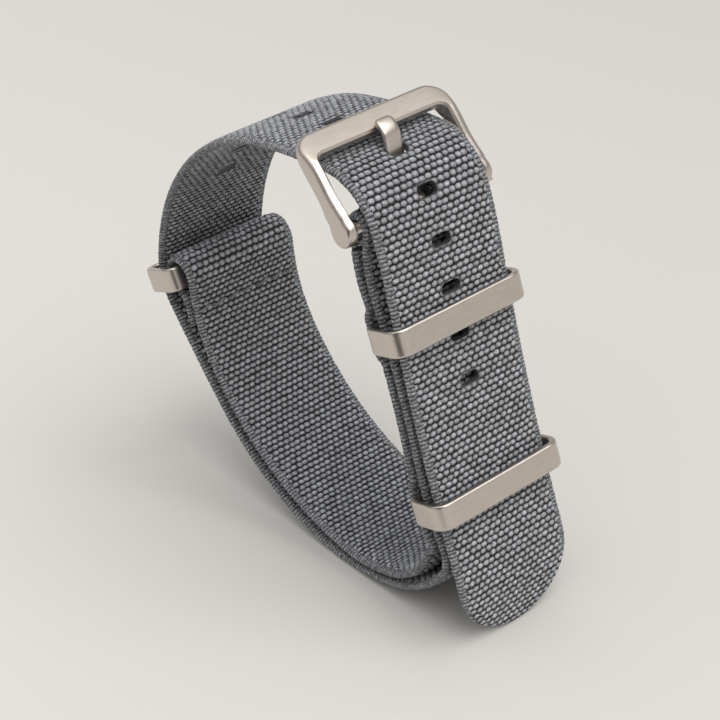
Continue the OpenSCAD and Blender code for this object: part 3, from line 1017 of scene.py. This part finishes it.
def frame_stations():
    """Pairs of points on the frame's outer and inner outline, from one arm's end round to the other's."""
    outer_side = BUCKLE_WIDTH / 2
    inner_side = outer_side - ARM_THICK
    start = FRAME_START + ARM_END_REACH
    end = -WINDOW_CORNER
    places = []
    for k in range(ARM_END_STEPS):
        places.append(FRAME_START + ARM_END_REACH * (1 - math.cos(math.radians(90 * k / ARM_END_STEPS))))
    for k in range(ARM_STEPS):
        places.append(start + (end - start) * k / ARM_STEPS)
    half = [((along, -outer_side), (along, -inner_side)) for along in places]
    straight = BAR_WIDTH - BUCKLE_CORNER - end
    bend = math.pi * BUCKLE_CORNER / 2
    for k in range(CORNER_STEPS + 1):
        run = (straight + bend) * k / CORNER_STEPS
        if run < straight:
            outer = (end + run, -outer_side)
        else:
            a = (run - straight) / BUCKLE_CORNER
            outer = (BAR_WIDTH - BUCKLE_CORNER + BUCKLE_CORNER * math.sin(a),
                     -outer_side + BUCKLE_CORNER - BUCKLE_CORNER * math.cos(a))
        b = math.radians(90 * k / CORNER_STEPS)
        inner = (end + WINDOW_CORNER * math.sin(b),
                 -inner_side + WINDOW_CORNER - WINDOW_CORNER * math.cos(b))
        half.append((outer, inner))
    stations = list(half)
    (outer_x, outer_y), (inner_x, inner_y) = half[-1]
    for k in range(1, BAR_STEPS):
        share = 1 - 2 * k / BAR_STEPS
        stations.append(((outer_x, outer_y * share), (inner_x, inner_y * share)))
    stations += [((a, -b), (c, -d)) for (a, b), (c, d) in reversed(half)]
    return stations


def end_inset(radius, past):
    """How far an edge of a radius draws in at a place past the arm's end, so that the end is round."""
    return radius - math.sqrt(max(0.0, radius ** 2 - max(0.0, radius - past) ** 2))


def frame_section(outer, inner):
    """Points round the frame's cross-section between a pair of outline points."""
    width = math.dist(outer, inner)
    top, base = frame_depths((outer[0] + inner[0]) / 2, (outer[1] + inner[1]) / 2)
    tall = max(base - top, LEAST_HEIGHT)
    past = outer[0] - FRAME_START

    def corner(radius, at_outer, at_top):
        radius = min(radius, ROUND_OF_HEIGHT * tall, ROUND_OF_WIDTH * width)
        points = []
        for k in range(ROUND_STEPS + 1):
            a = math.radians(90 * k / ROUND_STEPS)
            aside = radius * (1 - math.sin(a)) + end_inset(radius, past)
            down = radius * (1 - math.cos(a))
            points.append((aside if at_outer else width - aside, down, at_top))
        return points

    bevel = min(INNER_BEVEL, BEVEL_OF_HEIGHT * tall)
    inset = end_inset(INNER_BEVEL, past)
    section = corner(OUTER_ROUND, True, True)[::-1]
    section += [(width - bevel - inset, 0.0, True), (width - inset, bevel, True)]
    section += corner(BASE_ROUND, False, False)[::-1]
    section += [(width * 0.5, 0.0, False)]
    section += corner(BASE_ROUND, True, False)
    places = []
    for aside, down, at_top in section:
        share = aside / width
        along = outer[0] + (inner[0] - outer[0]) * share
        y = outer[1] + (inner[1] - outer[1]) * share
        low, high = frame_depths(along, y)
        places.append(on_buckle(along, y, low + down if at_top else high - down))
    return places


def make_buckle_frame():
    """The buckle's frame, lofted from one arm's end over the top bar to the other's."""
    stations = [frame_section(outer, inner) for outer, inner in frame_stations()]

    def place(share, count):
        return stations[round(share * (len(stations) - 1))][count]

    piece = tube(len(stations) - 1, len(stations[0]), place, METAL_MERGE)
    finish_metal(piece, "buckle_frame_satin", "buckle", "buckle_frame", SMOOTH_FRAME)


def squared(wave, power):
    """A sine or cosine drawn towards a square's side, the more the lower the power."""
    return math.copysign(abs(wave) ** power, wave)


def make_tongue():
    """The tongue's eye round the pivot bar, and its shank up to a round tip on the bar."""
    half = TONGUE_WIDTH / 2
    length = sum(run for run, turn in TONGUE_ROUTE)

    def shank(share, count):
        distance = SHANK_START + (length - SHANK_START) * share
        left = max(0.0, length - distance)
        taper = math.sqrt(max(TIP_THIN ** 2, 1 - max(0.0, 1 - left / TIP_REACH) ** 2))
        a = 2 * math.pi * count / SHANK_SIDES
        across = half * squared(math.cos(a), SHANK_SQUARE[0])
        up = TONGUE_THICK / 2 * squared(math.sin(a), SHANK_SQUARE[1]) * taper
        across *= TIP_WIDTH + (1 - TIP_WIDTH) * taper if left > 0 else TIP_END_WIDTH
        x, z, heading = beside(pose_along(TONGUE_START, TONGUE_ROUTE, distance), up)
        return (x * MM, (across + TONGUE_SIDE) * MM, z * MM)

    def eye(share, count):
        turn = 2 * math.pi * share
        a = 2 * math.pi * count / EYE_SIDES
        middle = PIVOT_RADIUS + (RUNNING_GAP + EYE_WALL) / 2
        wall = (EYE_WALL - RUNNING_GAP) / 2
        radius = middle + wall * squared(math.cos(a), EYE_SQUARE[0])
        across = half * squared(math.sin(a), EYE_SQUARE[1])
        return ((PIVOT[0] + radius * math.cos(turn)) * MM, (across + TONGUE_SIDE) * MM,
                (PIVOT[1] + radius * math.sin(turn)) * MM)

    ring = tube(EYE_STEPS, EYE_SIDES, eye, METAL_MERGE)
    blade = tube(SHANK_STEPS, SHANK_SIDES, shank, METAL_MERGE)
    pick(blade)
    ring.select_set(True)
    bpy.ops.object.join()
    finish_metal(blade, "buckle_tongue_satin", "tongue", "buckle_tongue", SMOOTH_TONGUE)


def ring_line(size, corners, thick):
    """Points round a ring's middle line as (y, z, out y, out z), with Z from its inner to its outer bar."""
    half = (size[1] - thick) / 2
    far = size[0] - thick
    line = []
    for quarter, corner in enumerate((corners[1], corners[1], corners[0], corners[0])):
        bend = corner - thick / 2
        centre_y = (half - bend) * (1 if quarter in (0, 3) else -1)
        centre_z = far - bend if quarter < 2 else bend
        points = []
        for k in range(RING_BEND_STEPS + 1):
            a = math.radians(90 * quarter + 90 * k / RING_BEND_STEPS)
            out_y = math.cos(a)
            out_z = math.sin(a)
            points.append((centre_y + bend * out_y, centre_z + bend * out_z, out_y, out_z))
        (y, z, out_y, out_z), (end_y, end_z, last_y, last_z) = points[0], points[-1]
        line.append((y + RING_FLAT * out_z, z - RING_FLAT * out_y, out_y, out_z))
        line += points
        line.append((end_y - RING_FLAT * last_z, end_z + RING_FLAT * last_y, last_y, last_z))
    return line


def band_section(thick):
    """Points round a flat band's cross-section with round edges, as (along the strap, outwards)."""
    section = []
    for quarter, (x, out) in enumerate(((1, 1), (-1, 1), (-1, -1), (1, -1))):
        centre_x = x * (RING_BAND / 2 - RING_EDGE)
        centre_out = out * (thick / 2 - RING_EDGE)
        for k in range(RING_EDGE_STEPS + 1):
            a = math.radians(90 * quarter + 90 * k / RING_EDGE_STEPS)
            section.append((centre_x + RING_EDGE * math.cos(a), centre_out + RING_EDGE * math.sin(a)))
        if quarter % 2 == 0:
            section.append((centre_x - x * RING_FLAT, out * thick / 2))
            section.append((-centre_x + x * RING_FLAT, out * thick / 2))
    return section


def make_ring(name, body, node, pose, size, corners, thick):
    """A flat band bent round to a ring. The pose is the middle of its inner bar."""
    line = ring_line(size, corners, thick)
    section = band_section(thick)

    def place(share, count):
        y, z, out_y, out_z = line[round(share * len(line)) % len(line)]
        along, out = section[count]
        spot = beside(pose, z + out * out_z)
        a = math.radians(pose[2])
        return ((spot[0] + along * math.cos(a)) * MM, (y + out * out_y + STRAP_SIDE) * MM,
                (spot[1] + along * math.sin(a)) * MM)

    piece = tube(len(line), len(section), place, METAL_MERGE)
    finish_metal(piece, name, body, node, SMOOTH_METAL)


def keeper_pose(place):
    """The pose of a keeper ring's inner bar, between the two straps."""
    x, z, heading = beside(on_long(place), -(STRAP_THICK + TUNNEL_GAP) / 2)
    return (x, z, heading + KEEPER_LEAN)


def make_hardware():
    """The buckle with its tongue and pivot bar, the two keeper rings and the end ring."""
    make_buckle_frame()
    make_tongue()
    polish("pivot_bar", "pivot_bar_satin", "buckle")
    keeper = (KEEPER_SIZE, KEEPER_CORNERS, KEEPER_THICK)
    make_ring("upper_keeper_satin", "upper_ring", "upper_keeper", keeper_pose(UPPER_PLACE), *keeper)
    make_ring("lower_keeper_satin", "lower_ring", "lower_keeper", keeper_pose(LOWER_PLACE), *keeper)
    x, z, heading = beside(pose_along(SHORT_START, SHORT_ROUTE, BEFORE_LOOP), LOOP_RADIUS)
    loop = (x, z, 90 + END_TILT)
    make_ring("end_ring_satin", "end_loop", "end_ring", loop, END_SIZE, END_CORNERS, END_THICK)


# Floor, light and camera

def floor_colour(level):
    """The floor's colour, lighter or darker by a factor."""
    return (*(level * part for part in FLOOR_COLOUR), 1)


def make_floor():
    """A pale floor, a little darker away from the camera."""
    deselect_all()
    bpy.ops.mesh.primitive_plane_add(size=FLOOR_SIZE)
    floor = bpy.context.object
    floor.name = "floor"
    shader = Shader("pale_floor")
    away = shader.vector_math("DOT_PRODUCT", shader.place(), FLOOR_AWAY)
    share = shader.math("MULTIPLY_ADD", away, *FLOOR_FADE)
    colour = shader.ramp(share, (0.0, floor_colour(FLOOR_NEAR)), (1.0, floor_colour(FLOOR_FAR)))
    shader.set(Base_Color=colour, Roughness=0.9, Specular_IOR_Level=0.1)
    floor.data.materials.append(shader.material)


def make_card():
    """A dark card in front of the strap that the camera doesn't see and only reflections show."""
    deselect_all()
    bpy.ops.mesh.primitive_plane_add(size=1)
    card = bpy.context.object
    card.name = "dark_card"
    turn = CARD_PLACE.to_track_quat("Z", "Y")
    for vertex in card.data.vertices:
        vertex.co = turn @ Vector((vertex.co.x * CARD_WIDTH, vertex.co.y * CARD_HEIGHT, 0)) + CARD_PLACE
    shader = Shader("dark_card")
    shader.set(Base_Color=CARD_COLOUR, Roughness=0.9)
    card.data.materials.append(shader.material)
    card.visible_camera = False
    card.visible_diffuse = False
    card.visible_shadow = False


def make_sky():
    """Soft light, stronger from above, and the pale room that the camera and the metal see instead."""
    world = bpy.data.worlds.new("studio")
    world.use_nodes = True
    graph = Graph(world.node_tree)
    height = graph.parts(graph.node("ShaderNodeTexCoord").outputs["Generated"])[2]
    sky = graph.tree.nodes["Background"]
    sky.inputs["Strength"].default_value = SKY_STRENGTH
    graph.feed(sky.inputs["Color"], graph.ramp(height, (0.0, SKY_LOW), (SKY_TOP, SKY_HIGH)))
    room = graph.node("ShaderNodeBackground")
    stops = [(place, floor_colour(level)) for place, level in ROOM_LEVELS]
    graph.feed(room.inputs["Color"], graph.ramp(height, *stops))
    light_path = graph.node("ShaderNodeLightPath")
    shown = light_path.outputs["Is Camera Ray"]
    for kind in ("Is Glossy Ray", "Is Transmission Ray"):
        shown = graph.math("MAXIMUM", shown, light_path.outputs[kind])
    mix = graph.node("ShaderNodeMixShader")
    for socket, value in zip(mix.inputs, (shown, sky.outputs[0], room.outputs[0])):
        graph.feed(socket, value)
    graph.feed(graph.tree.nodes["World Output"].inputs[0], mix.outputs[0])
    bpy.context.scene.world = world


def make_sun():
    """The broad window light, as a wide soft sun."""
    light = bpy.data.lights.new("window_light", "SUN")
    light.energy = SUN_STRENGTH
    light.angle = math.radians(SUN_SPREAD)
    light.color = SUN_COLOUR
    lamp = bpy.data.objects.new("window_light", light)
    lamp.rotation_mode = "QUATERNION"
    lamp.rotation_quaternion = SUN_FROM.to_track_quat("Z", "Y")
    bpy.context.collection.objects.link(lamp)


def make_camera():
    """The camera that took the photograph, as its perspective shows it."""
    data = bpy.data.cameras.new("camera")
    data.sensor_width = CAMERA_SENSOR
    data.lens = CAMERA_LENS
    data.clip_start = CAMERA_CLIP
    camera = bpy.data.objects.new("camera", data)
    back = CAMERA_RIGHT.cross(CAMERA_UP)
    turn = Matrix((CAMERA_RIGHT, CAMERA_UP, back)).transposed().to_4x4()
    camera.matrix_world = Matrix.Translation(CAMERA_PLACE) @ turn
    bpy.context.collection.objects.link(camera)
    bpy.context.scene.camera = camera


make_camera()
make_long_strap()
make_short_strap()
make_stitching()
make_hardware()
make_floor()
make_card()
make_sky()
make_sun()
bpy.context.scene.view_settings.view_transform = "Standard"
